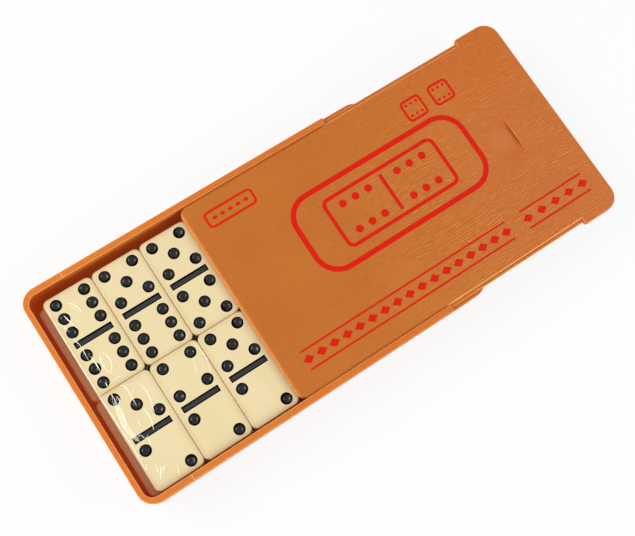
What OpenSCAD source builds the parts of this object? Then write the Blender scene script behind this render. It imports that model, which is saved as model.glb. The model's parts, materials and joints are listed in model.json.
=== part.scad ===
// Domino storage box: a moulded tray with a sliding lid, packed with a double-six set of 28 tiles.
// Millimetres. The origin is the middle of the tray's flat underside, +X points to the end that the
// lid slides out of, and +Z is up.

/* [Tile] */
// Width of one tile, along the box
tile_w = 24.9; // [22:0.1:28]
// Length of one tile, across the box
tile_l = 50; // [46:0.5:56]
// Thickness of one tile
tile_h = 10; // [8:0.5:12]
// Radius of the tile's four upright corners
tile_corner_r = 3; // [1.5:0.1:4]
// Rounding of the tile's long edges
tile_edge_r = 0.8; // [0.3:0.1:1.2]
// Diameter of a pip at the tile's face
pip_d = 5.6; // [4:0.1:6.2]
// Depth of a pip
pip_depth = 1.6; // [0.8:0.1:2.2]
// Distance from the middle of a half to its outer pips, both ways
pip_pitch = 7.2; // [6.5:0.1:7.6]
// Distance from the middle of the tile to the middle of each half
half_offset = 13.3; // [12.8:0.1:13.6]
// Length of the centre bar
bar_l = 19.2; // [14:0.1:20]
// Width of the centre bar
bar_w = 3.2; // [2:0.1:3.6]
// Depth of the centre bar
bar_depth = 0.9; // [0.4:0.1:1.2]
// Width of the slope round the bar's edge
bar_slope = 0.7; // [0.3:0.1:0.9]

/* [Packing] */
// Gap between neighbouring tiles of a layer
tile_gap = 0.1; // [0.05:0.05:0.4]
// Gap between the lower layer and the closed end, at the floor
end_gap = 1.6; // [1.1:0.1:2]
// How far the upper layer lies nearer the open end than the lower one
layer_shift = 3.6; // [0:0.1:3.8]
// Gap between the tiles and the wall on the -Y side, at the floor
side_gap = 1.5; // [1.1:0.1:2.5]
// Spare length inside the tray, at the floor
spare_l = 6.3; // [6:0.1:12]
// Spare width inside the tray, at the floor
spare_w = 6.1; // [5:0.1:12]
// Space between the tiles and the lid
head_gap = 1.6; // [0.5:0.1:3]

/* [Tray] */
// Thickness of the floor
floor_t = 1.8; // [1.2:0.1:3]
// Thickness of the walls
wall_t = 1.6; // [1.3:0.1:2.4]
// How far the walls lean in from the rim to the base
draft = 0.8; // [0.2:0.1:1.2]
// Outer radius of the tray's corners at the rim
corner_r = 8; // [6:0.5:12]
// Rounding of the edge round the base
base_r = 1.2; // [0.4:0.1:1.6]
// Small bevel along the rim's edges
rim_bevel = 0.35; // [0.1:0.05:0.5]

/* [Rails] */
// Width of the lip over the lid's flange, from the tray's outer face
lip_w = 2.9; // [2.7:0.1:3.2]
// Thickness of the lip
lip_t = 1.2; // [0.8:0.1:2]
// Thickness of the wall behind the groove
groove_wall = 1.3; // [1:0.1:1.5]
// How far the ledge under the lid stands further in than the lip
ledge_proud = 0.2; // [0:0.05:0.3]
// Thickness of the ledge at its inner edge
ledge_t = 1.2; // [0.8:0.1:1.4]
// Length of the tray past the rails, where the lid's ears lie
open_l = 22; // [14:0.5:30]
// Length at the closed end that has a lip and no ledge
pocket_l = 22; // [12:0.5:30]
// Radius of the rails' ends in plan
rail_end_r = 1.3; // [0.4:0.1:1.4]

/* [Lid] */
// Thickness of the flanges that run in the grooves
flange_t = 1.2; // [0.8:0.1:2]
// How far the lid's face lies below the rim
face_drop = 0.3; // [0:0.05:0.6]
// Clearance over and under a flange
run_gap = 0.2; // [0.1:0.05:0.4]
// Clearance between a flange's edge and the groove wall
flange_gap = 0.25; // [0.15:0.05:0.4]
// Clearance between the raised face and the lips
face_gap = 0.25; // [0.15:0.05:0.5]
// Gap from the shut lid's front edge to the lip at the closed end
front_gap = 0.5; // [0.3:0.05:1]
// Clearance at the ears when the lid is shut
stop_gap = 0.3; // [0.2:0.05:0.5]
// Radius to which the flanges' front ends are cut back
flange_front_r = 10; // [6:0.5:12]
// Length of the rounded slope along the front edge
rise_l = 2; // [0.4:0.1:3]
// Radius of that slope's curve
rise_r = 3.6; // [3.2:0.1:6]
// Width of the thumb scoop at its wall
scoop_w = 20; // [12:0.5:26]
// Greatest depth of the thumb scoop
scoop_depth = 1; // [0.5:0.1:1.2]
// Distance from the scoop's deepest point to its wall
scoop_lead = 2; // [0:0.1:4]
// Distance from the scoop's wall to the lid's outer end
scoop_inset = 24.6; // [16:0.1:40]
// How far the lid is drawn out
lid_open = 78; // [0:1:80]

/* [Hidden] */
COLUMNS = 7;
ROWS = 2;
LAYERS = 2;
ROUND = 64; // facets of a preview circle
JOIN = 0.5; // how far solids of one piece run into each other

// The set in packing order: lower layer then upper layer, in each the +Y row then the -Y row, and
// in each row from the closed end. A pair gives the +Y half and the -Y half.
PAIRS = [
    [1, 1], [6, 0], [5, 3], [5, 1], [5, 0], [4, 3], [4, 1],
    [0, 0], [3, 3], [3, 1], [3, 0], [6, 1], [1, 0], [4, 0],
    [6, 6], [5, 6], [5, 5], [4, 6], [4, 5], [4, 4], [3, 6],
    [3, 2], [4, 2], [5, 2], [6, 2], [2, 2], [1, 2], [0, 2],
];

function tile_name(pair) = str("tile_", max(pair), "_", min(pair));

// Levels, from the base up
stack_top = floor_t + LAYERS * tile_h;
lid_z = stack_top + head_gap;
ledge_z = lid_z - run_gap;
flange_z = lid_z + flange_t;
lip_z = flange_z + run_gap;
rim_z = lip_z + lip_t;
face_z = rim_z - face_drop;

// The tray's plan, at the rim
foot_inset = draft + wall_t;
pitch_x = tile_w + tile_gap;
pitch_y = tile_l + tile_gap;
tray_l = COLUMNS * pitch_x - tile_gap + spare_l + 2 * foot_inset;
tray_w = ROWS * pitch_y - tile_gap + spare_w + 2 * foot_inset;
end_x = tray_l / 2;
side_y = tray_w / 2;
rail_end_x = end_x - open_l;
ledge_start_x = pocket_l - end_x;
ledge_w = lip_w + ledge_proud;

// The lid's plan
flange_edge = groove_wall + flange_gap;
face_edge = lip_w + face_gap;
front_edge = lip_w + front_gap;
face_t = face_z - lid_z;
rise_drop = rise_r - sqrt(rise_r * rise_r - rise_l * rise_l);
shut_x = front_edge - end_x;
lid_x = shut_x + lid_open;
tongue_l = rail_end_x + stop_gap - shut_x;
ear_l = end_x - rail_end_x - stop_gap;

// Depth of the tray's outer face inside its rim line at height z
function lean(z) = draft * (1 - z / rim_z);

function arc(x, y, r, from, to, steps = 5) =
    [for (i = [0 : steps]) let (a = from + (to - from) * i / steps) [x + r * cos(a), y + r * sin(a)]];

// ---- Profiles of the tray's wall: x runs in from the rim line, y is the height ----

// Foot of the wall with the start of the floor, from the floor's edge round to the outer face
function foot_points() = concat(
    [[foot_inset + 2 * JOIN, floor_t], [foot_inset + 2 * JOIN, 0]],
    arc(lean(0) + base_r, base_r, base_r, 270, 180));

// Wall that carries the ledge, up to the ledge's top
module ledge_wall_profile() {
    polygon(concat(
        foot_points(),
        [
            [lean(ledge_z), ledge_z],
            [ledge_w, ledge_z],
            [ledge_w, ledge_z - ledge_t],
            [lean(ledge_z) + wall_t, ledge_z - 2 * ledge_t],
            [foot_inset, floor_t],
        ]));
}

// Lip with its two bevelled edges, and the wall under it down to height z
function lip_points(z) = [
    [lean(z), z],
    [0, rim_z - rim_bevel],
    [rim_bevel, rim_z],
    [lip_w - rim_bevel, rim_z],
    [lip_w, rim_z - rim_bevel],
    [lip_w, lip_z],
    [groove_wall, lip_z],
    [groove_wall, z],
];

// Plain wall of the closed end, with the lip that the lid's front goes under
module pocket_wall_profile() {
    polygon(concat(foot_points(), lip_points(ledge_z), [[foot_inset, floor_t]]));
}

// Upper part of a rail: the wall behind the groove, and the lip
module rail_profile() {
    polygon(lip_points(ledge_z));
}

// ---- Runs of a wall profile ----

// Straight run along X on the side of the given sign
module side_run(x0, x1, side) {
    translate([x0, side * side_y, 0])
        rotate([90, 0, 90])
            linear_extrude(x1 - x0)
                mirror([side > 0 ? 1 : 0, 0])
                    children();
}

// Straight run along Y at the end of the given sign
module end_run(end) {
    translate([end * end_x, side_y - corner_r, 0])
        rotate([90, 0, 0])
            linear_extrude(tray_w - 2 * corner_r)
                mirror([end > 0 ? 1 : 0, 0])
                    children();
}

// Quarter turn at one corner
module corner_run(end, side) {
    turn = side > 0 ? (end > 0 ? 0 : 90) : (end > 0 ? 270 : 180);
    translate([end * (end_x - corner_r), side * (side_y - corner_r), 0])
        rotate(turn)
            rotate_extrude(angle = 90, $fn = ROUND)
                translate([corner_r, 0])
                    mirror([1, 0])
                        children();
}

// Rectangle from x0 to x1, centred on Y, with its own corner radius at each end
module round_plate(x0, x1, w, r0, r1) {
    difference() {
        translate([x0, -w / 2])
            square([x1 - x0, w]);
        for (side = [-1, 1]) {
            if (r0 > 0)
                corner_waste(x0, side * w / 2, 1, -side, r0);
            if (r1 > 0)
                corner_waste(x1, side * w / 2, -1, -side, r1);
        }
    }
}

// What rounding takes off the square corner at (x, y), whose material lies towards (sx, sy)
module corner_waste(x, y, sx, sy, r) {
    translate([x, y])
        scale([sx, sy])
            difference() {
                translate([-JOIN, -JOIN])
                    square(r + JOIN);
                translate([r, r])
                    circle(r, $fn = ROUND);
            }
}

// ---- The tray ----

module tray_floor() {
    inset = foot_inset + JOIN;
    linear_extrude(floor_t)
        round_plate(inset - end_x, end_x - inset, tray_w - 2 * inset, corner_r - inset, corner_r - inset);
}

// One rail, with its free end rounded in plan
module rail(side) {
    intersection() {
        side_run(ledge_start_x, rail_end_x, side)
            rail_profile();
        translate([0, side * side_y, ledge_z - JOIN])
            scale([1, -side, 1])
                linear_extrude(rim_z - ledge_z + 2 * JOIN)
                    difference() {
                        translate([ledge_start_x - JOIN, -JOIN])
                            square([rail_end_x - ledge_start_x + JOIN, lip_w + 2 * JOIN]);
                        corner_waste(rail_end_x, 0, -1, 1, rail_end_r);
                        corner_waste(rail_end_x, lip_w, -1, -1, rail_end_r);
                    }
    }
}

module tray() {
    color("#e4863c") {
        tray_floor();
        end_run(-1)
            pocket_wall_profile();
        end_run(1)
            ledge_wall_profile();
        for (side = [-1, 1]) {
            corner_run(-1, side)
                pocket_wall_profile();
            side_run(corner_r - end_x, ledge_start_x, side)
                pocket_wall_profile();
            side_run(ledge_start_x, end_x - corner_r, side)
                ledge_wall_profile();
            corner_run(1, side)
                ledge_wall_profile();
            rail(side);
        }
    }
}

// ---- The lid ----

// A tongue whose sides lie this far in from the tray's outer faces, and the ears behind it
module lid_outline(side, r) {
    round_plate(0, tongue_l + JOIN, tray_w - 2 * side, r, 0);
    round_plate(tongue_l, tongue_l + ear_l, tray_w, rail_end_r, corner_r);
}

// What the rounded slope along the front edge takes off
module lead_cut() {
    over = face_t + JOIN;
    translate([0, tray_w / 2, 0])
        rotate([90, 0, 0])
            linear_extrude(tray_w)
                polygon(concat(
                    arc(rise_l, face_t - rise_r, rise_r, 90 + asin(rise_l / rise_r), 90),
                    [[rise_l, over], [-JOIN, over], [-JOIN, face_t - rise_drop]]));
}

// Part of a shallow round hollow, cut off by a wall towards the outer end
module scoop_cut() {
    mouth_r = sqrt(scoop_w * scoop_w / 4 + scoop_lead * scoop_lead);
    ball_r = (mouth_r * mouth_r + scoop_depth * scoop_depth) / (2 * scoop_depth);
    translate([tongue_l + ear_l - scoop_inset, 0, face_t])
        intersection() {
            translate([-scoop_lead, 0, ball_r - scoop_depth])
                sphere(ball_r, $fn = 4 * ROUND);
            translate([-scoop_w, -scoop_w, -2 * scoop_depth])
                cube([scoop_w, 2 * scoop_w, 4 * scoop_depth]);
        }
}

module lid() {
    color("#c47334")
        translate([lid_x, 0, lid_z])
            difference() {
                union() {
                    linear_extrude(flange_t)
                        lid_outline(flange_edge, flange_front_r);
                    linear_extrude(face_t)
                        lid_outline(face_edge, corner_r - face_edge);
                }
                lead_cut();
                scoop_cut();
            }
}

// ---- The tiles ----

// Quarter of a rounded bar's cross-section: x runs out from the corner's axis
module tile_edge_profile() {
    polygon(concat(
        [[0, tile_h], [0, 0]],
        arc(tile_corner_r - tile_edge_r, tile_edge_r, tile_edge_r, 270, 360, 4),
        arc(tile_corner_r - tile_edge_r, tile_h - tile_edge_r, tile_edge_r, 0, 90, 4)));
}

module tile_blank() {
    core_l = tile_l - 2 * tile_corner_r;
    core_w = tile_w - 2 * tile_corner_r;
    translate([-core_w / 2, -core_l / 2, 0])
        cube([core_w, core_l, tile_h]);
    for (quarter = [0 : 3]) {
        run = quarter % 2 == 0 ? core_l : core_w;
        out = quarter % 2 == 0 ? core_w : core_l;
        rotate(90 * quarter) {
            translate([out / 2, run / 2, 0])
                rotate([90, 0, 0])
                    linear_extrude(run)
                        tile_edge_profile();
            translate([out / 2, run / 2, 0])
                rotate_extrude(angle = 90, $fn = ROUND)
                    tile_edge_profile();
        }
    }
}

// Places of the pips of a half, in pitches from its middle
function pip_places(count) = concat(
    count % 2 == 1 ? [[0, 0]] : [],
    count >= 2 ? [[-1, 1], [1, -1]] : [],
    count >= 4 ? [[1, 1], [-1, -1]] : [],
    count == 6 ? [[-1, 0], [1, 0]] : []);

module pip_cuts(count) {
    half = pip_d / 2;
    ball_r = (half * half + pip_depth * pip_depth) / (2 * pip_depth);
    for (place = pip_places(count))
        translate([place.x * pip_pitch, place.y * pip_pitch, tile_h + ball_r - pip_depth])
            sphere(ball_r, $fn = ROUND);
}

// Groove whose four sides slope in to its floor
module bar_cut() {
    translate([0, 0, tile_h])
        intersection() {
            rotate([90, 0, 0])
                linear_extrude(bar_w + 2, center = true)
                    bar_section(bar_l);
            rotate([90, 0, 90])
                linear_extrude(bar_l + 2, center = true)
                    bar_section(bar_w);
        }
}

module bar_section(w) {
    top = w / 2 + bar_slope / bar_depth * JOIN;
    polygon([[-top, JOIN], [bar_slope - w / 2, -bar_depth], [w / 2 - bar_slope, -bar_depth], [top, JOIN]]);
}

module tile(index) {
    pair = PAIRS[index];
    column = index % COLUMNS;
    row = floor(index / COLUMNS) % ROWS;
    layer = floor(index / COLUMNS / ROWS);
    first_x = foot_inset + end_gap + layer * layer_shift + tile_w / 2 - end_x;
    first_y = foot_inset + side_gap + tile_l / 2 - side_y;
    color("#f0dfb4")
        translate([
            first_x + column * pitch_x,
            first_y + (ROWS - 1 - row) * pitch_y,
            floor_t + layer * tile_h,
        ])
            difference() {
                tile_blank();
                translate([0, half_offset, 0])
                    pip_cuts(pair[0]);
                translate([0, -half_offset, 0])
                    pip_cuts(pair[1]);
                bar_cut();
            }
}

tray();
lid();
for (i = [0 : len(PAIRS) - 1]) tile(i);
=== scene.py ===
import json
import math

import bmesh
import bpy
from mathutils import Euler, Matrix, Vector


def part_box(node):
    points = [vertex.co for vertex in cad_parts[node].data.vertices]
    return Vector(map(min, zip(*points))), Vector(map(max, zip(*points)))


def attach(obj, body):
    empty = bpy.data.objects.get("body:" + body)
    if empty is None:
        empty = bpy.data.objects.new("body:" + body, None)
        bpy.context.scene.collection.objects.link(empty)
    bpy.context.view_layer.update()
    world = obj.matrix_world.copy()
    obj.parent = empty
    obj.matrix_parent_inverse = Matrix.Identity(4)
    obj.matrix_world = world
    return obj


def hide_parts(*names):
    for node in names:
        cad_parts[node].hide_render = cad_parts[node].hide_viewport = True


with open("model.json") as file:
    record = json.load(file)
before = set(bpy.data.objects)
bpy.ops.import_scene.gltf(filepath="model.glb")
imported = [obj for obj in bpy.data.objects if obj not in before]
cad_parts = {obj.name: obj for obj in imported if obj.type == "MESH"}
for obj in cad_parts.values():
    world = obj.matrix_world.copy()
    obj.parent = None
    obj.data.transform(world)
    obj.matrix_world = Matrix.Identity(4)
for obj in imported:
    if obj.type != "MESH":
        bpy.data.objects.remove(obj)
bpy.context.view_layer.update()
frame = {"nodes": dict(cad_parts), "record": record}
mm = 0.001
tiny = 0.00001  # metres
far = 60  # mm, beyond the sides of every piece
sharp = 0.7  # radians, the least angle between two faces at an edge that is rounded
print("frame loaded:", len(frame["nodes"]), "nodes")


standingCamera = dict(
    place=(-72.24, -77.88, 494.36),  # mm
    turn=(13.902, -5.327, -33.508),  # degrees
    lens=59.77,  # mm, as the sensor
    sensor=36,
    clip=(0.01, 10),  # metres
)


def makeCamera(c):
    data = bpy.data.cameras.new("studioCamera")
    data.lens, data.sensor_width = c["lens"], c["sensor"]
    data.clip_start, data.clip_end = c["clip"]
    camera = bpy.data.objects.new("studioCamera", data)
    camera.location = Vector(c["place"]) * mm
    camera.rotation_euler = Euler([math.radians(a) for a in c["turn"]])
    bpy.context.scene.collection.objects.link(camera)
    bpy.context.scene.camera = camera


makeCamera(standingCamera)


# Arithmetic on a wrapped socket adds Math nodes
class Value:
    def __init__(self, finish, socket):
        self.finish, self.socket = finish, socket

    def maths(self, operation, *inputs):
        return self.finish.add("ShaderNodeMath", dict(operation=operation), dict(enumerate(inputs)))

    def __add__(self, other):
        return self.maths("ADD", self, other)

    def __sub__(self, other):
        return self.maths("SUBTRACT", self, other)

    def __rsub__(self, other):
        return self.maths("SUBTRACT", other, self)

    def __mul__(self, other):
        return self.maths("MULTIPLY", self, other)

    def __truediv__(self, other):
        return self.maths("DIVIDE", self, other)

    __radd__, __rmul__ = __add__, __mul__

    def lesser(self, other):
        return self.maths("MINIMUM", self, other)

    def greater(self, other):
        return self.maths("MAXIMUM", self, other)

    def sine(self):
        return self.maths("SINE", self)

    def size(self):
        return self.maths("ABSOLUTE", self)

    def power(self, other):
        return self.maths("POWER", self, other)

    # 0 below low, 1 above high, smooth between: the sockets are the value, then the ends before and after
    def ramp(self, low, high):
        settings = dict(interpolation_type="SMOOTHSTEP")
        return self.finish.add("ShaderNodeMapRange", settings, {0: self, 1: low, 2: high, 3: 0, 4: 1})


class Finish:
    def __init__(self, name, holder=None):
        self.material = holder or bpy.data.materials.new(name)
        self.material.use_nodes = True
        self.tree = self.material.node_tree
        self.tree.nodes.clear()

    # A node of this kind, its settings first, then values or links for its sockets
    def add(self, kind, settings=None, inputs=None, output=0):
        node = self.tree.nodes.new(kind)
        for name, value in (settings or {}).items():
            setattr(node, name, value)
        for key, value in (inputs or {}).items():
            if isinstance(value, Value):
                self.tree.links.new(value.socket, node.inputs[key])
            else:
                node.inputs[key].default_value = value
        return Value(self, node.outputs[output] if node.outputs else None)

    # The Mix node keeps its colour sockets at 6 and 7, and its colour result at 2
    def mix(self, factor, first, second):
        settings = dict(data_type="RGBA", clamp_factor=True)
        return self.add("ShaderNodeMix", settings, {0: factor, 6: first, 7: second}, 2)

    def split(self, vector, axes):
        return [self.add("ShaderNodeSeparateXYZ", inputs=dict(Vector=vector), output=axis) for axis in axes]

    # The place on the object, in millimetres, as three values
    def place(self):
        spot = self.add("ShaderNodeTexCoord", output="Object")
        spot = self.add("ShaderNodeVectorMath", dict(operation="SCALE"), dict(Vector=spot, Scale=1 / mm))
        return self.split(spot, "XYZ")

    def vector(self, x, y, z):
        return self.add("ShaderNodeCombineXYZ", inputs=dict(X=x, Y=y, Z=z))

    def noise(self, vector, detail=2, roughness=0.5, distortion=0):
        inputs = dict(Vector=vector, Scale=1, Detail=detail, Roughness=roughness, Distortion=distortion)
        return self.add("ShaderNodeTexNoise", inputs=inputs)

    # Noise in the whole of space, with this many cells to the millimetre along each axis
    def speckle(self, x, y, z, cells, **options):
        return self.noise(self.vector(x * cells[0], y * cells[1], z * cells[2]), **options)

    # Noise that is the same at all heights: two lengths of a blotch in mm, and the level of the noise
    def blotches(self, x, y, spread, **options):
        alongX, alongY, level = spread
        return self.noise(self.vector(x / alongX, y / alongY, level), **options)

    def bump(self, height, distance):
        return self.add("ShaderNodeBump", inputs=dict(Height=height, Distance=distance, Strength=1))

    def surface(self, **sockets):
        shader = self.add("ShaderNodeBsdfPrincipled", inputs={k.replace("_", " "): v for k, v in sockets.items()})
        self.add("ShaderNodeOutputMaterial", inputs=dict(Surface=shader))
        return self.material


# sRGB from 0 to 255 to a linear colour
def paint(red, green, blue):
    def linear(c):
        c /= 255
        return c / 12.92 if c <= 0.04045 else ((c + 0.055) / 1.055) ** 2.4

    return linear(red), linear(green), linear(blue), 1


noLight = paint(0, 0, 0)

# In the dicts of the finishes, colours are sRGB from 0 to 255, and pairs named for an axis are (from, to) in mm
caramel = dict(
    dark=(213, 120, 32), light=(221, 130, 42), rough=0.38, roughMore=0.12,
    right=(200, 104, 30), rightX=(-60, 40), rightShare=0.4,
    # glow is the colour of the painted glow that stands in for light through the walls; the rest says where it
    # stops
    glow=(71, 27, 9), rimZ=(21, 25.9), openX=(66, 72), nearY=(-52, -46), nearShare=0.8,
    cloudCells=(0.05,) * 3, gritCells=(3.5,) * 3, gritDepth=0.012, lightReach=2,
)


# The glow is a painted glow, emission that stands in for light let through the thin walls: none at the rim and
# past the rails, little on the near side
def caramelPlastic(name="caramelPlastic", **changes):
    c = {**caramel, **changes}
    f = Finish(name)
    x, y, z = f.place()
    cloud = f.speckle(x, y, z, c["cloudCells"], detail=3)
    grit = f.speckle(x, y, z, c["gritCells"], detail=1)
    colour = f.mix(cloud, paint(*c["dark"]), paint(*c["light"]))
    colour = f.mix(x.ramp(*c["rightX"]) * c["rightShare"], colour, paint(*c["right"]))
    near = (1 - y.ramp(*c["nearY"])) * c["nearShare"]
    unlit = z.ramp(*c["rimZ"]).greater(x.ramp(*c["openX"])).greater(near)
    return f.surface(
        Base_Color=colour,
        Roughness=c["rough"] + c["roughMore"] * cloud,
        Normal=f.bump(grit, c["gritDepth"] * mm),
        Specular_IOR_Level=0.3,
        Subsurface_Weight=0.5,
        Subsurface_Radius=(1, 0.36, 0.12),
        Subsurface_Scale=c["lightReach"] * mm,
        Emission_Color=f.mix(unlit, paint(*c["glow"]), noLight),
        Emission_Strength=1,
    )


# Edges painted paler as a highlight, and smoother
def paintedHighlightEdge():
    return caramelPlastic("paintedHighlightEdge", dark=(242, 152, 88), light=(250, 170, 108), rough=0.28)


# near, plain and ears are painted highlight colours; groove is a painted shadow colour and glow a painted glow,
# for where the edge runs under the lip
edgeLightLook = dict(
    near=(253, 172, 90), plain=(240, 154, 88), nearY=(-50, -40),
    ears=(226, 136, 66), earsX=(147, 150),
    groove=(168, 86, 18), glow=(66, 27, 3), grooveX=(68, 72),
    lightReach=1,
)


# The lid's edge: a painted highlight, palest on the near side and plain round the ears, and a painted shadow,
# brown with a painted glow, where it runs in the groove
def paintedEdgeLight(c):
    f = Finish("paintedEdgeLight")
    x, y, z = f.place()
    colour = f.mix(y.ramp(*c["nearY"]), paint(*c["near"]), paint(*c["plain"]))
    colour = f.mix(x.ramp(*c["earsX"]), colour, paint(*c["ears"]))
    outside = x.ramp(*c["grooveX"])
    return f.surface(
        Base_Color=f.mix(outside, paint(*c["groove"]), colour),
        Emission_Color=f.mix(outside, paint(*c["glow"]), noLight),
        Emission_Strength=1,
        Roughness=0.34,
        Specular_IOR_Level=0.3,
        Subsurface_Weight=0.3,
        Subsurface_Radius=(1, 0.36, 0.12),
        Subsurface_Scale=c["lightReach"] * mm,
    )


grain = dict(
    bigWave=5, bigSpread=(50, 26, 3.1), smallWave=0.8, smallSpread=(8, 4, 8.4),
    shiftSpread=(7, 1.5, 5.5), patchSpread=(3.6, 1.5, 2.2),
    spacing=1.08, unevenness=7, swing=0.3, depth=0.3,
    quiet=0.15, busyX=(10, 160), patchEnds=(0.35, 0.62), patchGain=0.95, patchLeast=0.3,
    farY=(14, 40), farLoss=0.45, scoopX=141, scoopClear=(8, 13), scoopWallX=(146.4, 146.6),
)


# How far a place is in plan from a point on the X axis
def farFrom(x, y, middleX):
    return ((x - middleX) * (x - middleX) + y * y).power(0.5)


# Height of the moulded woodgrain, 0.5 where it is flat
def woodgrain(f, x, y, g):
    across = y
    for sway, spread in ((g["bigWave"], g["bigSpread"]), (g["smallWave"], g["smallSpread"])):
        across = across + 2 * sway * (f.blotches(x, y, spread, detail=1) - 0.5)
    shift = f.blotches(x, across, g["shiftSpread"])
    lines = (across * (2 * math.pi / g["spacing"]) + g["unevenness"] * shift).sine() * g["swing"]
    patches = f.blotches(x, across, g["patchSpread"]).ramp(*g["patchEnds"]) * g["patchGain"] + g["patchLeast"]
    busy = x.ramp(*g["busyX"]) * (1 - g["quiet"]) + g["quiet"]
    busy = busy * patches * (1 - g["farLoss"] * y.ramp(*g["farY"]))
    clear = farFrom(x, y, g["scoopX"]).ramp(*g["scoopClear"]).greater(x.ramp(*g["scoopWallX"]))
    return lines * busy * clear + 0.5


# The crest, front and scoop-ramp colours are painted highlights, the side and scoop-wall colours painted shade,
# the glow a painted glow
lidLook = dict(
    dark=(182, 99, 20), light=(209, 124, 47), rough=0.4, roughMore=0.12,
    cloudSpread=(35, 35, 1.3), toothSpread=(1.6, 0.7, 9.9), toothX=(-10.5, -8), toothDepth=0.8,
    tone=0.34, ridgeTone=2.2, slopeTone=2.4, cloudTone=0.5,
    crest=(222, 142, 78), crestGain=5, crestLoss=0.5,
    right=(206, 102, 30), rightX=(70, 150), rightShare=0.4,
    side=(140, 66, 8), sideY=(50.9, 51.6), sideX=(67, 71), sideShare=0.4,
    front=(236, 146, 66), frontX=(-11.4, -9.6), frontShare=0.75, frontTeeth=1.6,
    rampLight=(216, 136, 80), rampLightX=138.5, rampLightReach=(2, 11), rampLightShare=0.35,
    wall=(158, 76, 22), wallX=(143.8, 146.2), wallY=(9, 10), wallZ=(24.75, 25.5), wallShare=0.75,
    glow=(112, 50, 8), glowX=(66, 72), glowY=(50, 51), glowZ=(25, 25.4),
    lightReach=1.5,
)


# The teeth roughen the front edge and break up its painted highlight. The glow is a painted glow, emission that
# lights the groove beside the raised face
def grainedPlastic(c):
    f = Finish("grainedPlastic")
    x, y, z = f.place()
    height = woodgrain(f, x, y, grain)
    cloud = f.blotches(x, y, c["cloudSpread"])
    teeth = (f.blotches(x, y, c["toothSpread"], detail=1) - 0.5) * (1 - x.ramp(*c["toothX"]))
    ridge = height - 0.5
    # painted highlight: the tone lightens on the grain's ridges and takes the crest colour at their tops; the
    # cloud term is random tone
    tone = c["tone"] + c["ridgeTone"] * ridge + c["slopeTone"] * ridge.size() + c["cloudTone"] * (cloud - 0.5)
    colour = f.mix(tone, paint(*c["dark"]), paint(*c["light"]))
    colour = f.mix(ridge * c["crestGain"] - c["crestLoss"], colour, paint(*c["crest"]))
    colour = f.mix(x.ramp(*c["rightX"]) * c["rightShare"], colour, paint(*c["right"]))
    # painted shadow along the face's edges where they run under the lip
    side = y.size().ramp(*c["sideY"]) * (1 - x.ramp(*c["sideX"]))
    colour = f.mix(side * c["sideShare"], colour, paint(*c["side"]))
    # painted highlight along the front crown, broken up by the teeth
    front = (1 - x.ramp(*c["frontX"])) * (c["frontShare"] + c["frontTeeth"] * teeth)
    colour = f.mix(front, colour, paint(*c["front"]))
    # painted highlight on the scoop's ramp
    rampLight = 1 - farFrom(x, y, c["rampLightX"]).ramp(*c["rampLightReach"])
    colour = f.mix(rampLight * c["rampLightShare"], colour, paint(*c["rampLight"]))
    # painted shade at the foot of the scoop's wall, deepest in the bowl
    inScoop = (1 - y.size().ramp(*c["wallY"])) * (1 - z.ramp(*c["wallZ"]))
    colour = f.mix(x.ramp(*c["wallX"]) * inScoop * c["wallShare"], colour, paint(*c["wall"]))
    unlit = z.ramp(*c["glowZ"]).greater(x.ramp(*c["glowX"])).greater(1 - y.size().ramp(*c["glowY"]))
    return f.surface(
        Base_Color=colour,
        Emission_Color=f.mix(unlit, paint(*c["glow"]), noLight),
        Emission_Strength=1,
        Roughness=c["rough"] + c["roughMore"] * cloud,
        Normal=f.bump(height + c["toothDepth"] * teeth, grain["depth"] * mm),
        Specular_IOR_Level=0.3,
        Subsurface_Weight=0.3,
        Subsurface_Radius=(1, 0.3, 0.1),
        Subsurface_Scale=c["lightReach"] * mm,
    )


ivoryLook = dict(
    edge=(222, 199, 152), middle=(233, 216, 169), width=25, edgeWidth=3,
    pale=(243, 228, 186), paleEnds=(0.35, 0.75), paleShare=0.35, swirlCells=(0.06, 0.025, 0.1),
    rough=0.22, roughMore=0.08, glow=(84, 20, 4), glowX=(-85.5, -84), glowZ=(11.9, 12.4), lightReach=1.5,
)


# The tilePlan map is 1 wide and 2 long about the tile's middle. The borders are darker as painted shade. The glow
# is a painted glow that stands in for red light low in the end gap
def polishedIvory(c):
    f = Finish("polishedIvory")
    u, v = f.split(f.add("ShaderNodeUVMap", dict(uv_map="tilePlan")), "XY")
    inside = (0.5 - u.size()).lesser(1 - v.size()) * c["width"]
    x, y, z = f.place()
    swirl = f.speckle(x, y, z, c["swirlCells"], detail=3, distortion=0.6)
    # painted shade: darker towards the tile's borders
    colour = f.mix(inside.ramp(0, c["edgeWidth"]), paint(*c["edge"]), paint(*c["middle"]))
    colour = f.mix(swirl.ramp(*c["paleEnds"]) * c["paleShare"], colour, paint(*c["pale"]))
    unlit = z.ramp(*c["glowZ"]).greater(x.ramp(*c["glowX"]))
    return f.surface(
        Base_Color=colour,
        Emission_Color=f.mix(unlit, paint(*c["glow"]), noLight),
        Emission_Strength=1,
        Roughness=c["rough"] + c["roughMore"] * swirl,
        Specular_IOR_Level=0.4,
        Subsurface_Weight=0.3,
        Subsurface_Radius=(1, 0.6, 0.35),
        Subsurface_Scale=c["lightReach"] * mm,
    )


pipLook = dict(
    black=(3, 3, 4), dusty=(12, 12, 13), dustCells=(2.5,) * 3, waveCells=(0.8,) * 3,
    rough=0.06, roughMore=0.09, dustDepth=0.15, depth=0.2,
)


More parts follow.
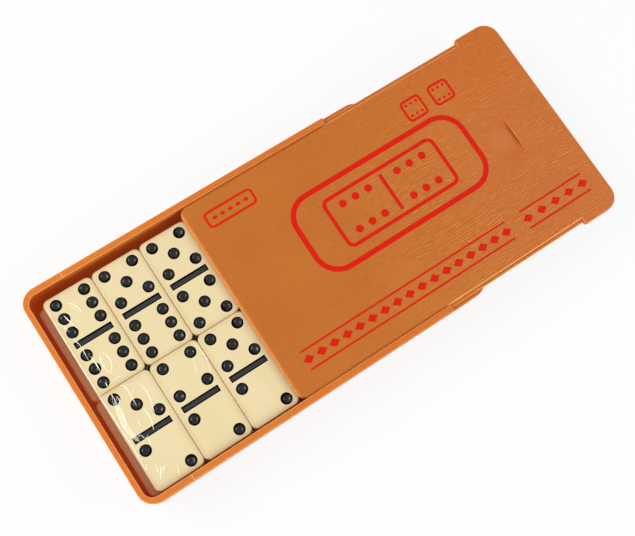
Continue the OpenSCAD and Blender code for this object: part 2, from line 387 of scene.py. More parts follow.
def pipPaint(c):
    f = Finish("pipPaint")
    x, y, z = f.place()
    dust = f.speckle(x, y, z, c["dustCells"])
    waves = f.speckle(x, y, z, c["waveCells"], detail=1)
    return f.surface(
        Base_Color=f.mix(dust, paint(*c["black"]), paint(*c["dusty"])),
        Roughness=c["rough"] + c["roughMore"] * dust,
        Specular_IOR_Level=0.34,
        Normal=f.bump(c["dustDepth"] * dust + waves, c["depth"] * mm),
    )


# greys of the bar's floor, lighter than the pips' black: a painted reflection
barLook = dict(
    dark=(24, 24, 26), light=(66, 65, 68), streakCells=(1.1, 3.2, 1), streakEnds=(0.35, 0.7),
    rough=0.3, roughMore=0.2, depth=0.06,
)


# Paint on the floor of a bar, its grey and lighter streaks a painted reflection
def barPaintAndReflection(c):
    f = Finish("barPaintAndReflection")
    x, y, z = f.place()
    streaks = f.speckle(x, y, z, c["streakCells"], detail=3, roughness=0.7)
    return f.surface(
        Base_Color=f.mix(streaks.ramp(*c["streakEnds"]), paint(*c["dark"]), paint(*c["light"])),
        Roughness=c["rough"] + c["roughMore"] * streaks,
        Specular_IOR_Level=0.27,
        Normal=f.bump(streaks, c["depth"] * mm),
    )


inkLook = dict(
    dark=(208, 14, 0), light=(228, 32, 5), patchCells=(0.5, 2.2, 1), grainEnds=(0.35, 0.65),
    rough=0.42, roughMore=0.1,
)


def redInk(c):
    f = Finish("redInk")
    x, y, z = f.place()
    height = woodgrain(f, x, y, grain)
    patch = f.speckle(x, y, z, c["patchCells"], roughness=0.6)
    tone = height.ramp(*c["grainEnds"]) * 0.5 + patch * 0.5
    return f.surface(
        Base_Color=f.mix(tone, paint(*c["dark"]), paint(*c["light"])),
        Roughness=c["rough"] + c["roughMore"] * patch,
        Normal=f.bump(height, grain["depth"] * mm),
        Specular_IOR_Level=0.14,
    )


print("materials ready")


def allNear(edge, axis, level):
    return all(abs(v.co[axis] - level) < tiny for v in edge.verts)


def vertsOf(geometry):
    return [g for g in geometry if isinstance(g, bmesh.types.BMVert)]


def edgesOf(geometry):
    return [g for g in geometry if isinstance(g, bmesh.types.BMEdge)]


def everything(bm):
    return bm.verts[:] + bm.edges[:] + bm.faces[:]


# Box between two corners in mm, its upright edges rounded at the front (low X) and the back
def slab(low, high, front=0, back=0, steps=10):
    low, high = Vector(low) * mm, Vector(high) * mm
    bm = bmesh.new()
    bmesh.ops.create_cube(bm, size=1)
    bmesh.ops.scale(bm, vec=high - low, verts=bm.verts)
    bmesh.ops.translate(bm, vec=(low + high) / 2, verts=bm.verts)
    for radius, x in ((front, low.x), (back, high.x)):
        if radius:
            upright = [e for e in bm.edges if allNear(e, 0, x) and allNear(e, 1, e.verts[0].co.y)]
            roundOff(bm, upright, radius, steps)
    return bm


def roundOff(bm, edges, radius, steps, finish=None):
    made = bmesh.ops.bevel(
        bm,
        geom=edges,
        offset=radius * mm,
        offset_type="OFFSET",
        segments=steps,
        profile=0.5,
        affect="EDGES",
        material=-1,
        clamp_overlap=True,
    )
    if finish is not None:
        for face in made["faces"]:
            face.material_index = finish


# A rounded plate built up level by level: each level is (inset from the plan, height), in mm
def stack(length, width, corner, levels, steps=12):
    bm = bmesh.new()
    middle = Vector((length / 2 - corner, width / 2 - corner))  # of a corner's arc
    firstInset, firstZ = levels[0]
    reach = corner - firstInset
    bmesh.ops.create_grid(bm, x_segments=1, y_segments=1, size=1)
    for v in bm.verts:
        v.co = Vector((v.co.x * (middle.x + reach), v.co.y * (middle.y + reach), firstZ)) * mm
    bmesh.ops.bevel(
        bm,
        geom=list(bm.verts),
        offset=reach * mm,
        offset_type="OFFSET",
        segments=steps,
        profile=0.5,
        affect="VERTICES",
        material=-1,
    )
    ring = list(bm.edges)
    for inset, z in levels[1:]:
        made = bmesh.ops.extrude_edge_only(bm, edges=ring)["geom"]
        for v in vertsOf(made):
            centre = Vector((math.copysign(middle.x, v.co.x), math.copysign(middle.y, v.co.y))) * mm
            out = (v.co.xy - centre).normalized()
            v.co.xy = centre + out * (corner - inset) * mm
            v.co.z = z * mm
        ring = [e for e in edgesOf(made) if e.is_boundary]
    bmesh.ops.holes_fill(bm, edges=ring)
    bmesh.ops.recalc_face_normals(bm, faces=bm.faces)
    return bm


# A cutter for a shallow bowl: a ball's curve spun about Z, its mouth at height 0, its flat top lifted clear
def bowl(width, depth, arcSteps=7, turnSteps=40, lift=0.5):
    ball = ((width / 2) ** 2 + depth**2) / (2 * depth)
    reach = math.asin(width / 2 / ball)
    bm = bmesh.new()
    arc = [reach * i / arcSteps for i in range(arcSteps + 1)]
    points = [(ball * math.sin(a), ball * (1 - math.cos(a)) - depth) for a in arc]
    points += [(width / 2, lift), (0, lift)]
    verts = [bm.verts.new(Vector((0, y, z)) * mm) for y, z in points]
    edges = [bm.edges.new(pair) for pair in zip(verts, verts[1:])]
    bmesh.ops.spin(
        bm,
        geom=verts + edges,
        axis=(0, 0, 1),
        cent=(0, 0, 0),
        angle=2 * math.pi,
        steps=turnSteps,
        use_merge=True,
    )
    bmesh.ops.remove_doubles(bm, verts=bm.verts, dist=tiny / 100)
    bmesh.ops.holes_fill(bm, edges=[e for e in bm.edges if e.is_boundary])
    bmesh.ops.recalc_face_normals(bm, faces=bm.faces)
    return bm


def toObject(name, bm, *materials):
    mesh = bpy.data.meshes.new(name)
    bm.to_mesh(mesh)
    bm.free()
    for m in materials:
        mesh.materials.append(m)
    obj = bpy.data.objects.new(name, mesh)
    bpy.context.scene.collection.objects.link(obj)
    return obj


# Turns an object's modifiers into mesh
def settle(obj):
    made = obj.evaluated_get(bpy.context.evaluated_depsgraph_get())
    mesh = bpy.data.meshes.new_from_object(made)
    obj.modifiers.clear()
    obj.data = mesh


def combine(obj, other, operation="DIFFERENCE"):
    step = obj.modifiers.new("combine", "BOOLEAN")
    step.operation, step.object = operation, other
    step.solver, step.material_mode = "MANIFOLD", "TRANSFER"
    settle(obj)
    bpy.data.objects.remove(other)


# Hands the mesh to an edit as a bmesh and takes it back
def edit(obj, change):
    bm = bmesh.new()
    bm.from_mesh(obj.data)
    change(bm)
    bm.to_mesh(obj.data)
    bm.free()


# Clears what cutting leaves: doubled points, slivers and edges across flat faces
def tidyMesh(bm, nearest=0.002 * mm, flattest=math.radians(0.4)):
    bmesh.ops.remove_doubles(bm, verts=bm.verts, dist=nearest)
    bmesh.ops.dissolve_degenerate(bm, edges=bm.edges, dist=nearest)
    bmesh.ops.dissolve_limit(bm, angle_limit=flattest, verts=bm.verts, edges=bm.edges, delimit={"MATERIAL"})


def smooth(obj, angle=32):
    for face in obj.data.polygons:
        face.use_smooth = True
    obj.data.set_sharp_from_angle(angle=math.radians(angle))
    weigh = obj.modifiers.new("evenNormals", "WEIGHTED_NORMAL")
    weigh.keep_sharp = True


def bodyOf(node):
    groups = frame["record"]["behaviour"]["bodies"]
    return next(body for body, members in groups.items() if node in members)


# Gives an object its body, and hides the nodes it stands for
def seat(obj, body, slotName, *nodes):
    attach(obj, body)
    if nodes:
        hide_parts(*nodes)


tray = dict(
    length=186, width=111, height=26, corner=8, draft=0.8,
    floor=1.8, wall=1.6, baseRound=1.2,
    innerLonger=1, lip=3.2, lipUnder=24.8, grooveWall=1.3, ledgeTop=23.2, ledge=3.1, ledgeThick=1.2,
    edge=0.35, ledgeStart=-71, railEnd=71, railRound=1.3, railRounded=1.4, endEdge=0.56, lowEdge=0.21,
    seam=0.34, seamDepth=0.16, seamPlaces=((-71, 1), (-69, -1)), seamY=(50, 60),  # (X, side), then from and to
    past=2, cutEnd=100, cutTop=40, seamTop=30,  # where the cutters end, clear of the tray
)


# A quarter turn of levels for a stack
def quarter(inset, z, radius, start, steps=4):
    turns = [math.radians(start + 90 * i / steps) for i in range(steps + 1)]
    return [(inset - radius * math.cos(a), z + radius * math.sin(a)) for a in turns]


def makeTray(t):
    plan = (t["length"], t["width"], t["corner"])
    innerPlan = (t["length"] + t["innerLonger"], t["width"], t["corner"])
    lean = lambda z: t["draft"] * (1 - z / t["height"])  # of the outer wall at this height
    foot = t["draft"] + t["baseRound"]
    outside = quarter(foot, t["baseRound"], t["baseRound"], -90)
    outside += quarter(t["edge"], t["height"] - t["edge"], t["edge"], 0, 3)
    body = toObject("trayShell", stack(*plan, outside), caramelPlastic(), paintedHighlightEdge())

    footIn, edge = t["draft"] + t["wall"], t["edge"]
    soft = edge * 0.3
    mouth = [
        (t["grooveWall"], t["lipUnder"]),
        (t["lip"], t["lipUnder"]),
        (t["lip"], t["height"] - edge),
        (t["lip"] - soft, t["height"] - soft),
        (t["lip"] - edge, t["height"]),
        (t["lip"] - edge, t["height"] + t["past"]),
    ]
    under = t["ledgeTop"] - 2 * t["ledgeThick"]
    rails = [
        (footIn, t["floor"]),
        (lean(under) + t["wall"], under),
        (t["ledge"], t["ledgeTop"] - t["ledgeThick"]),
        (t["ledge"], t["ledgeTop"] - edge / 2),
        (t["ledge"] - edge / 2, t["ledgeTop"]),
        (t["grooveWall"], t["ledgeTop"]),
    ] + mouth
    combine(body, toObject("railCore", stack(*innerPlan, rails)))

    pocket = [(footIn, t["floor"]), (t["grooveWall"], t["ledgeTop"])] + mouth
    core = stack(*innerPlan, pocket)
    cut = bmesh.ops.bisect_plane(
        core,
        geom=everything(core),
        plane_co=(t["ledgeStart"] * mm, 0, 0),
        plane_no=(1, 0, 0),
        clear_outer=True,
    )
    bmesh.ops.holes_fill(core, edges=edgesOf(cut["geom_cut"]))
    bmesh.ops.recalc_face_normals(core, faces=core.faces)
    combine(body, toObject("pocketCore", core))

    # beyond the rails only the low wall is left
    combine(body, toObject("endCut", slab((t["railEnd"], -far, t["ledgeTop"]), (t["cutEnd"], far, t["cutTop"]))))
    # pale finish of the seam marks, also used as a painted highlight on the rails' ends
    seamMarkAndHighlight = caramelPlastic("seamMarkAndHighlight", dark=(250, 190, 130), light=(252, 204, 150))
    for x, side in t["seamPlaces"]:
        lowY, highY = sorted(side * y for y in t["seamY"])
        low = (x - t["seam"] / 2, lowY, t["height"] - t["seamDepth"])
        high = (x + t["seam"] / 2, highY, t["seamTop"])
        combine(body, toObject("seamCut", slab(low, high), seamMarkAndHighlight))

    def roundRailEnds(bm):
        tidyMesh(bm)
        extent = lambda e, axis: abs(e.verts[0].co[axis] - e.verts[1].co[axis]) / mm
        topEdges = lambda height, least: [
            e for e in bm.edges if allNear(e, 2, height * mm) and e.calc_face_angle(0) > least
        ]
        # the upright corners of the lips' ends
        upright = [
            e for e in bm.edges
            if allNear(e, 0, t["railEnd"] * mm) and extent(e, 1) < 0.2 and extent(e, 2) > 0.5
            and max(v.co.z for v in e.verts) > (t["height"] - 1) * mm
        ]
        roundOff(bm, upright, t["railRound"], steps=6)
        ends = [
            e for e in topEdges(t["height"], sharp)
            if max(v.co.x for v in e.verts) > (t["railEnd"] - t["railRounded"]) * mm
        ]
        # the rounded tops of the rails' ends take the pale seam finish as a painted highlight
        roundOff(bm, ends, t["endEdge"], steps=3, finish=2)  # as pale as the seams
        lowWall = [
            e for e in topEdges(t["ledgeTop"], 0.5)
            if min(v.co.x for v in e.verts) > (t["railEnd"] + t["railRounded"]) * mm
        ]
        roundOff(bm, lowWall, t["lowEdge"], steps=3)
        # the tilted faces of the rim get the painted highlight
        for face in bm.faces:
            tilted = 0.15 < face.normal.z < 0.97
            if tilted and face.calc_center_median().z > (t["height"] - t["edge"]) * mm:
                face.material_index = 1

    edit(body, roundRailEnds)
    smooth(body)
    seat(body, "tray", "tray_plastic", "tray")


makeTray(tray)
print("tray made")


lid = dict(
    open=78, front=-89.6, ears=71.3, end=93, under=23.4, flangeTop=24.6, top=25.7,
    flangeHalf=53.8, faceHalf=52.2, earHalf=55.5,
    flangeCorner=10, faceCorner=4.85, earCorner=1.3, endCorner=8,
    riseLength=2, riseRadius=3.6, riseSteps=6, faceEdge=0.7, flangeEdge=0.38,
    scoopWidth=20, scoopDepth=1, scoopLead=2, scoopInset=24.6, scoopEdge=0.18, scoopAround=15,
    flangeInto=1, faceInto=2,  # how far they run into the head
)


def makeLid(p):
    front, ears, end = (p[k] + p["open"] for k in ("front", "ears", "end"))
    high = (ears + p["flangeInto"], p["flangeHalf"], p["flangeTop"])
    flange = slab((front, -p["flangeHalf"], p["under"]), high, p["flangeCorner"])
    body = toObject("lidPanel", flange, grainedPlastic(lidLook), paintedEdgeLight(edgeLightLook))
    high = (ears + p["faceInto"], p["faceHalf"], p["top"])
    face = slab((front, -p["faceHalf"], p["under"]), high, p["faceCorner"])
    combine(body, toObject("facePlate", face), "UNION")
    head = slab((ears, -p["earHalf"], p["under"]), (end, p["earHalf"], p["top"]), 0, p["endCorner"])
    corners = [e for e in head.edges if allNear(e, 0, ears * mm) and allNear(e, 1, e.verts[0].co.y)]
    roundOff(head, corners, p["earCorner"], steps=5)
    combine(body, toObject("headPlate", head), "UNION")

    # the front edge rises to the top in a curve
    crownX, centreZ = front + p["riseLength"], p["top"] - p["riseRadius"]
    crown = slab((front - 1, -far, p["under"]), (crownX, far, p["top"] + 1))
    for i in range(p["riseSteps"]):
        x = front + p["riseLength"] * i / p["riseSteps"]
        bmesh.ops.bisect_plane(crown, geom=everything(crown), plane_co=(x * mm, 0, 0), plane_no=(1, 0, 0))
    for v in crown.verts:
        if v.co.z < p["top"] * mm:
            run = min(crownX - v.co.x / mm, p["riseLength"])
            v.co.z = (centreZ + math.sqrt(p["riseRadius"] ** 2 - run**2)) * mm
    combine(body, toObject("crownCut", crown))

    wallX, half = end - p["scoopInset"], p["scoopWidth"] / 2
    hollow = bowl(2 * math.hypot(half, p["scoopLead"]), p["scoopDepth"], arcSteps=14, turnSteps=96)
    bmesh.ops.bisect_plane(
        hollow,
        geom=everything(hollow),
        plane_co=(p["scoopLead"] * mm, 0, 0),
        plane_no=(1, 0, 0),
        clear_outer=True,
    )
    bmesh.ops.holes_fill(hollow, edges=[e for e in hollow.edges if e.is_boundary])
    bmesh.ops.recalc_face_normals(hollow, faces=hollow.faces)
    bmesh.ops.translate(hollow, vec=Vector((wallX - p["scoopLead"], 0, p["top"])) * mm, verts=hollow.verts)
    combine(body, toObject("scoopCut", hollow))
    # a thin slope along the top of the scoop's wall, narrower below, in the painted highlight finish
    edge = p["scoopEdge"]
    chamfer = slab((wallX - edge, -half, p["top"] - edge), (wallX + 2 * edge, half, p["top"] + edge))
    for v in chamfer.verts:
        if v.co.z < p["top"] * mm:
            v.co.y *= 0.8
            v.co.x = min(v.co.x, wallX * mm)
    combine(body, toObject("scoopEdge", chamfer, paintedHighlightEdge()))

    def roundEdges(bm):
        tidyMesh(bm)
        nearY, nearX = half * 1.1 * mm, p["scoopAround"] * mm
        nearScoop = lambda v: abs(v.co.y) < nearY and abs(v.co.x - wallX * mm) < nearX
        rim = [
            e for e in bm.edges
            if allNear(e, 2, p["top"] * mm) and e.calc_face_angle(0) > sharp
            and not all(nearScoop(v) for v in e.verts)
        ]
        ledges = [
            e for e in bm.edges
            if allNear(e, 2, p["flangeTop"] * mm) and min(abs(v.co.y) for v in e.verts) > (p["faceHalf"] + 1) * mm
            and e.calc_face_angle(0) > sharp and e.calc_face_angle_signed(0) > 0
        ]
        roundOff(bm, ledges, p["flangeEdge"], steps=3, finish=1)
        roundOff(bm, rim, p["faceEdge"], steps=5, finish=1)

    edit(body, roundEdges)
    smooth(body, angle=25)
    seat(body, "lid", "lid_plastic", "lid")


makeLid(lid)
print("lid made")


ink = dict(
    low=25.705, high=25.745, middle=(78.5, 7.5),
    frame=(98, 42, 13, 2.6),  # length, width, corner, line
    domino=(64, 27, 4, 1.8), dominoPitch=(7.2, 7.2), dominoDot=1.9,
    dice=((112, 36.5), (128, 36.5)), die=(11.5, 11.5, 2.4, 1.2), diePitch=(2.9, 2.9), dieDot=0.75,
    corner=(10, 40.5), cornerRing=(26, 8.5, 2.5, 1.1), cornerDot=1.1, cornerPitch=4.2, cornerStretch=1.4,
    rowY=-38, rowEnds=((2, 114), (127, 160)), rowPitch=7, diamond=2.2, diamondStretch=1.3,
    stripes=((0, 116), (125, 162)), stripeY=(-33.4, -42.6), stripe=0.9,
)


def inkRing(p, at, length, width, corner, line):
    ring = toObject("inkRing", stack(length, width, corner, [(0, p["low"]), (0, p["high"])]))
    inside = stack(length, width, corner, [(line, p["low"] - 1), (line, p["high"] + 1)])
    combine(ring, toObject("inside", inside))
    ring.data.transform(Matrix.Translation(Vector((*at, 0)) * mm))
    return ring


# A round dot, or a diamond when it has four corners
def inkSpot(p, at, radius, corners=32, stretch=1):
    bm = bmesh.new()
    wide, thick = radius * mm, (p["high"] - p["low"]) * mm
    bmesh.ops.create_cone(bm, cap_ends=True, segments=corners, radius1=wide, radius2=wide, depth=thick)
    bmesh.ops.scale(bm, vec=(stretch, 1, 1), verts=bm.verts)
    bmesh.ops.translate(bm, vec=Vector((*at, (p["high"] + p["low"]) / 2)) * mm, verts=bm.verts)
    return toObject("inkSpot", bm)


def inkBar(p, low, high):
    return toObject("inkBar", slab((*low, p["low"]), (*high, p["high"])))


def sixSpots(p, at, pitch, dot):
    places = [(at[0] + pitch[0] * column, at[1] + pitch[1] * row) for column in (-1, 0, 1) for row in (-1, 1)]
    return [inkSpot(p, place, dot) for place in places]


def makePrint(p):
    x, y = p["middle"]
    pieces = [inkRing(p, p["middle"], *p["frame"]), inkRing(p, p["middle"], *p["domino"])]
    length, width, corner, line = p["domino"]
    pieces.append(inkBar(p, (x - line / 2, y - width / 2 + 2 * line), (x + line / 2, y + width / 2 - 2 * line)))
    for side in (-1, 1):
        pieces += sixSpots(p, (x + side * (length - line) / 4, y), p["dominoPitch"], p["dominoDot"])
    for at in p["dice"]:
        pieces.append(inkRing(p, at, *p["die"]))
        pieces += sixSpots(p, at, p["diePitch"], p["dieDot"])
    pieces.append(inkRing(p, p["corner"], *p["cornerRing"]))
    for step in (-2, -1, 0, 1, 2):
        spot = (p["corner"][0] + p["cornerPitch"] * step, p["corner"][1])
        pieces.append(inkSpot(p, spot, p["cornerDot"], corners=4, stretch=p["cornerStretch"]))
    for start, end in p["rowEnds"]:
        count = int((end - start) / p["rowPitch"])
        for i in range(count + 1):
            spot = (start + (end - start) * i / count, p["rowY"])
            pieces.append(inkSpot(p, spot, p["diamond"], corners=4, stretch=p["diamondStretch"]))
    for start, end in p["stripes"]:
        for level in p["stripeY"]:
            pieces.append(inkBar(p, (start, level - p["stripe"] / 2), (end, level + p["stripe"] / 2)))

    whole = bmesh.new()
    for piece in pieces:
        whole.from_mesh(piece.data)
        bpy.data.objects.remove(piece)
    seat(toObject("lidPrint", whole, redInk(inkLook)), "lid", "lid_plastic")


makePrint(ink)
print("print made")


tile = dict(
    corner=3, edge=0.8, pipWidth=5.6, pipDepth=1.6, pipPitch=7.2, half=13.3,
    barLength=19.2, underBarLength=18, barWidth=3.2, barDepth=0.9, barSlope=0.7, barLift=0.4,
    upperZ=15,  # tops above this are in the upper layer
    cornerSteps=8, edgeSteps=4,
    smallHalfUp=("tile_6_5", "tile_6_4", "tile_5_4", "tile_6_3", "tile_2_1", "tile_2_0"),
)


# Columns and rows of the pips of one half
def pipPlaces(count):
    places = [(0, 0)] if count % 2 else []
    if count >= 2:
        places += [(-1, 1), (1, -1)]
    if count >= 4:
        places += [(1, 1), (-1, -1)]
    if count == 6:
        places += [(-1, 0), (1, 0)]
    return places


# Bowls for both halves' pips, and a bar with sloped sides whose floor takes the second finish
def pipCutter(p, counts, centre):
    bm = bowl(p["pipWidth"], p["pipDepth"])
    first = everything(bm)
    for count, side in zip(counts, (1, -1)):
        for px, py in pipPlaces(count):
            copy = bmesh.ops.duplicate(bm, geom=first)["geom"]
            spot = Vector((px * p["pipPitch"], py * p["pipPitch"] + side * p["half"], 0)) * mm
            bmesh.ops.translate(bm, vec=centre + spot, verts=vertsOf(copy))
    bmesh.ops.delete(bm, geom=vertsOf(first), context="VERTS")
    slope = p["barSlope"] / p["barDepth"]
    barLength = p["barLength"] if centre.z > p["upperZ"] * mm else p["underBarLength"]
    bar = bmesh.ops.create_cube(bm, size=1)["verts"]
    for face in {f for v in bar for f in v.link_faces}:
        if face.normal.z < -0.5:
            face.material_index = 1
    for v in bar:
        z = p["barLift"] if v.co.z > 0 else -p["barDepth"]
        reach = Vector((barLength, p["barWidth"])) / 2 + Vector((slope, slope)) * z
        v.co = centre + Vector((math.copysign(reach.x, v.co.x), math.copysign(reach.y, v.co.y), z)) * mm
    return bm


def makeTile(p, name, ivory, paintBlack, paintGrey):
    low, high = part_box(name)
    top = Vector(((low.x + high.x) / 2, (low.y + high.y) / 2, high.z))
    big, small = (int(n) for n in name.split("_")[1:])
    counts = (small, big) if name in p["smallHalfUp"] else (big, small)
    bm = slab(low / mm, high / mm, p["corner"], p["corner"], p["cornerSteps"])
    rims = [e for e in bm.edges if allNear(e, 2, low.z) or allNear(e, 2, high.z)]
    roundOff(bm, rims, p["edge"], p["edgeSteps"])
    body = toObject(name + "_block", bm, ivory)
    combine(body, toObject("pips", pipCutter(p, counts, top), paintBlack, paintGrey))

    plan = body.data.uv_layers.new(name="tilePlan")
    for loop in body.data.loops:
        spot = (body.data.vertices[loop.vertex_index].co - top) / (high.x - low.x)
        plan.data[loop.index].uv = spot.xy
    smooth(body, angle=30)
    seat(body, bodyOf(name), "tile_ivory", name)


ivory, pipBlack, barGrey = polishedIvory(ivoryLook), pipPaint(pipLook), barPaintAndReflection(barLook)
for name in sorted(frame["nodes"]):
    if name.startswith("tile_"):
        makeTile(tile, name, ivory, pipBlack, barGrey)
print("tiles made")


# Creases of the clear wrap that clings to the tiles, drawn as painted glints: (width, then points in plan), in mm
wrap = dict(
    thin=0.36, thick=0.78, lift=0.02, flat=0.35,
    tile_6_6=(
        (
            0.4, (-84.3, 45.2), (-84.6, 38.5), (-84.9, 31.3), (-84.7, 24.4),
            (-84.8, 15.2), (-84.8, 9.9), (-84.6, 4.4), (-84.8, 0.2),
        ),
        (0.45, (-83.2, 36.6), (-82.4, 35), (-81.7, 32.6), (-81.6, 31.2)),
        (0.5, (-79.5, 38.2), (-79.2, 36.3), (-78.5, 34.2), (-78.1, 32.3)),
        (0.24, (-78.2, 33), (-77.8, 31.2), (-77.2, 29.3)),
        (0.34, (-81, 27.3), (-80.8, 25.2), (-80.4, 23.2), (-80.1, 20.3)),
        (0.3, (-80.3, 22.1), (-80.3, 20), (-80.5, 17.4), (-80.6, 14.7)),
        (0.5, (-78.9, 16), (-78.7, 13.4), (-78.6, 10.7), (-78.8, 8)),
        (0.3, (-75.7, 42.4), (-74.2, 41.6), (-73.1, 40.2), (-72.2, 37.6), (-72, 35.3)),
        (0.24, (-74.7, 40.6), (-73.9, 38.4), (-73.2, 35.7)),
        (0.24, (-76.4, 36.6), (-76, 34.4), (-75.9, 31.9)),
        (0.3, (-74.2, 14.8), (-73.1, 13.8), (-72.5, 11.4), (-72.7, 8.2), (-74.3, 5.8), (-76.1, 4.8)),
        (0.3, (-75.7, 14.4), (-76.2, 12.1), (-76.6, 8.8), (-75.8, 5.7)),
        (0.3, (-75.9, 0.9), (-74.6, 1.9), (-73.2, 1.7), (-72.4, 0.9)),
        (0.5, (-79.5, 2.4), (-79.5, 1.4), (-79.6, 0.4)),
    ),
    tile_3_2=(
        (0.4, (-79.8, -4.8), (-79.9, -6.7), (-80.6, -8.6)),
        (0.5, (-79.8, -3), (-80, -4.3), (-80.3, -5.5)),
        (0.34, (-78.5, -5.3), (-78.1, -7.4), (-78.7, -8.5), (-79.7, -8.7)),
        (0.26, (-80.8, -5.4), (-81.2, -7.2), (-81.7, -9)),
        (0.34, (-81.3, -8.7), (-81.8, -12.1), (-82.7, -15.7), (-83, -20.4), (-82.4, -24.7)),
        (0.3, (-79.9, -9.4), (-80.2, -13.3), (-80.9, -17.1), (-81.2, -21)),
        (0.34, (-74.8, -2.2), (-73.4, -2.8), (-72.8, -5.2), (-73.3, -7.9), (-73.1, -11), (-73.3, -13.8)),
        (0.26, (-70.2, -6.3), (-71.8, -7.5), (-73.2, -8.6)),
        (0.34, (-67.6, -5.2), (-66.6, -8.2), (-66.2, -11.7), (-66.8, -15), (-67.7, -18.4), (-68.6, -21.4)),
        (0.34, (-71.5, -16.5), (-70.9, -18.8), (-71, -22), (-71.7, -24.7), (-72.6, -26.9)),
        (0.44, (-76.2, -20), (-76.3, -21.1), (-76.5, -22.2)),
        (0.22, (-80.2, -25.9), (-78.8, -25.3), (-78, -26.3), (-78.1, -27.7), (-76.5, -28.2), (-75.7, -27.2)),
        (0.2, (-81.9, -26.5), (-80.6, -27), (-80, -28.6)),
        (0.5, (-76.6, -28), (-76.6, -30.1), (-76.9, -32)),
        (0.26, (-75.4, -29.3), (-75.9, -31.4)),
        (0.5, (-83.3, -37.8), (-83.3, -39.3), (-84.5, -40)),
        (0.34, (-79.9, -40.1), (-80.2, -42), (-80.5, -44.6)),
        (0.6, (-78.2, -41.6), (-79.1, -43.9), (-81.4, -46.8)),
        (0.44, (-75.9, -42.1), (-77.5, -43.4), (-79.5, -44.7)),
        (0.26, (-83.4, -41.1), (-84.3, -42), (-84.4, -43.5)),
        (0.36, (-72, -45.4), (-72.7, -47.8), (-73.5, -49.8)),
        (
            0.4, (-84.8, -0.4), (-84.7, -6), (-84.4, -11.4), (-84.5, -16.6),
            (-84.2, -22), (-84, -27.4), (-84.3, -32.3), (-84.5, -40),
        ),
    ),
    tile_4_2=(
        (0.26, (-41, -8.9), (-42.3, -12.1), (-44.1, -17)),
        (0.3, (-37.2, -3.2), (-36.4, -7.6), (-36.2, -11.5), (-36.6, -14.9), (-37.6, -18.6)),
    ),
)

# Broad folds of the same wrap, nearly flat, drawn as a faint painted sheen
folds = dict(
    thin=0.08, thick=0.2, lift=0.01, flat=0.05,
    tile_6_6=(
        (1.6, (-75.1, 15.1), (-75.6, 12.5), (-76.1, 9.8)),
    ),
    tile_3_2=(
        (
            2.5, (-80.2, -6.8), (-80.6, -9.7), (-81, -13.4), (-82, -17.2),
            (-81.9, -21.7), (-81.3, -25.2), (-80.4, -27.5),
        ),
        (1.5, (-80.4, -7.7), (-80.6, -11), (-81.3, -15), (-81.8, -18.3), (-81.7, -22.4), (-81, -26)),
    ),
)


# white and glint are the colours of the film's painted glints and their painted glow
filmLook = dict(white=(252, 252, 246), glint=(150, 150, 140), cells=(0.5, 0.5, 1), ends=(0.3, 0.6))


# Painted glints of the clear film: white, with a painted glow, broken up between its least and most cover
def wrapGlints(name, c, thin, thick):
    f = Finish(name)
    x, y, z = f.place()
    broken = f.speckle(x, y, z, c["cells"])
    return f.surface(
        Base_Color=paint(*c["white"]),
        Roughness=0.12,
        Emission_Color=paint(*c["glint"]),
        Emission_Strength=1,
        Alpha=broken.ramp(*c["ends"]) * (thick - thin) + thin,
    )


# A ridge along the points, swept as a curve and pressed flat
def crease(flat, width, points, z, tip=0.25):
    curve = bpy.data.curves.new("crease", "CURVE")
    curve.dimensions, curve.bevel_depth, curve.use_fill_caps = "3D", width * mm / 2, True
    curve.bevel_resolution, curve.resolution_u = 2, 6
    line = curve.splines.new("NURBS")
    line.points.add(len(points) - 1)
    line.order_u, line.use_endpoint_u = 3, True
    for point, (px, py) in zip(line.points, points):
        point.co = (px * mm, py * mm, 0, 1)
    line.points[0].radius = line.points[-1].radius = tip
    holder = bpy.data.objects.new("crease", curve)
    bpy.context.scene.collection.objects.link(holder)
    made = holder.evaluated_get(bpy.context.evaluated_depsgraph_get())
    mesh = bpy.data.meshes.new_from_object(made)
    bpy.data.objects.remove(holder)
    mesh.transform(Matrix.Translation((0, 0, z)) @ Matrix.Diagonal((1, 1, flat, 1)))
    return mesh


def tilesIn(p):
    return [key for key in p if key.startswith("tile_")]


def makeWrap(p, end, finishName):
    finish = wrapGlints(finishName, filmLook, p["thin"], p["thick"])
    for name in tilesIn(p):
        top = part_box(name)[1].z + p["lift"] * mm
        whole = bmesh.new()
        for width, *points in p[name]:
            whole.from_mesh(crease(p["flat"], width, points, top))
        obj = toObject(name + end, whole, finish)
        smooth(obj, angle=60)
        seat(obj, bodyOf(name), "tile_ivory")


makeWrap(wrap, "_wrap", "wrapGlints")
makeWrap(folds, "_fold", "foldSheen")

# Where the wrap spans the notch between the two tiles at the closed end: a plate in the corner of each,
# at the low (0) or high (1) end of the tile along Y
span = dict(inset=0.12, apart=0.1, low=0.45, high=0.22, colour=(232, 204, 168), tile_6_6=0, tile_3_2=1)


def spanFilm(c):
    return Finish("spanFilm").surface(Base_Color=paint(*c["colour"]), Roughness=0.3, Specular_IOR_Level=0.4)


def makeSpan(p):
    finish = spanFilm(p)
    for name in tilesIn(p):
        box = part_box(name)
        x, y, top = (c / mm for c in (box[0].x, box[p[name]].y, box[1].z))
        into = -1 if p[name] else 1
        lowY, highY = sorted((y + into * p["apart"], y + into * tile["corner"]))
        low = (x + p["inset"], lowY, top - p["low"])
        high = (x + tile["corner"], highY, top - p["high"])
        seat(toObject(name + "_span", slab(low, high), finish), bodyOf(name), "tile_ivory")


makeSpan(span)
print("wrap made")


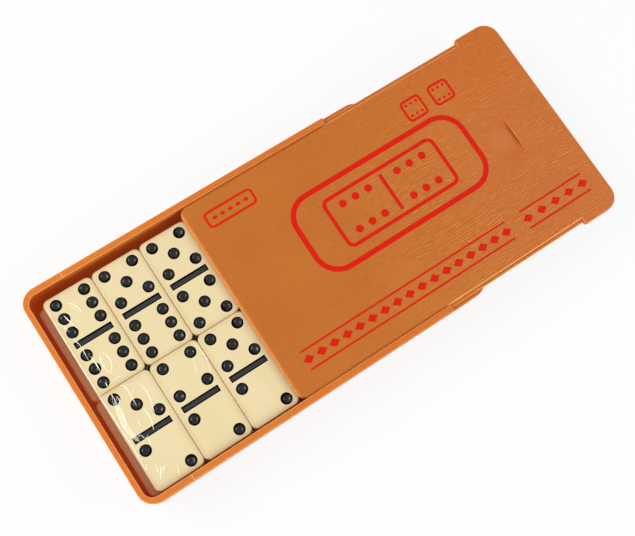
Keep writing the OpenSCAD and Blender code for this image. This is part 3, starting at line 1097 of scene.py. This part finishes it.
studio = dict(
    floorSize=4, floorShade=0.9, sky=0.55, whiter=0.86,
    lamps=(  # sizes and distances in metres
        dict(name="leftSoftBox", towards=(-0.62, 0.33, 0.69), away=1, wide=0.7, high=0.3, watts=5.1),
        dict(name="rightSoftBox", towards=(0.56, -0.52, 0.65), away=1, wide=0.7, high=0.26, watts=2.6),
    ),
)
white = (1, 1, 1, 1)


# 1 for rays that the camera, a mirror or glass sends straight out
def seenDirectly(f):
    rays = ("Is Camera Ray", "Is Glossy Ray", "Is Transmission Ray")
    camera, glossy, through = [f.add("ShaderNodeLightPath", output=ray) for ray in rays]
    return camera.greater(glossy).greater(through)


def makeStudio(s):
    bm = bmesh.new()
    bmesh.ops.create_grid(bm, x_segments=1, y_segments=1, size=s["floorSize"] / 2)
    f = Finish("paleFloor")
    cloth = f.add("ShaderNodeBsdfDiffuse", inputs=dict(Color=(*[s["floorShade"]] * 3, 1)))
    glow = f.add("ShaderNodeEmission", inputs=dict(Color=white, Strength=1))
    shown = f.add("ShaderNodeMixShader", inputs={0: seenDirectly(f) * s["whiter"], 1: cloth, 2: glow})
    f.add("ShaderNodeOutputMaterial", inputs=dict(Surface=shown))
    toObject("floor", bm, f.material)

    world = bpy.data.worlds.new("studioSky")
    world.use_nodes = True
    bpy.context.scene.world = world
    sky = Finish("sky", world)
    level = seenDirectly(sky) * (1 - s["sky"]) + s["sky"]
    background = sky.add("ShaderNodeBackground", inputs=dict(Color=white, Strength=level))
    sky.add("ShaderNodeOutputWorld", inputs=dict(Surface=background))

    for lamp in s["lamps"]:
        data = bpy.data.lights.new(lamp["name"], "AREA")
        data.shape, data.size, data.size_y, data.energy = "RECTANGLE", lamp["wide"], lamp["high"], lamp["watts"]
        box = bpy.data.objects.new(lamp["name"], data)
        box.location = Vector(lamp["towards"]).normalized() * lamp["away"]
        box.rotation_euler = (-box.location).to_track_quat("-Z", "Y").to_euler()
        bpy.context.scene.collection.objects.link(box)


makeStudio(studio)
bpy.context.scene.view_settings.view_transform = "Standard"
print("studio made")
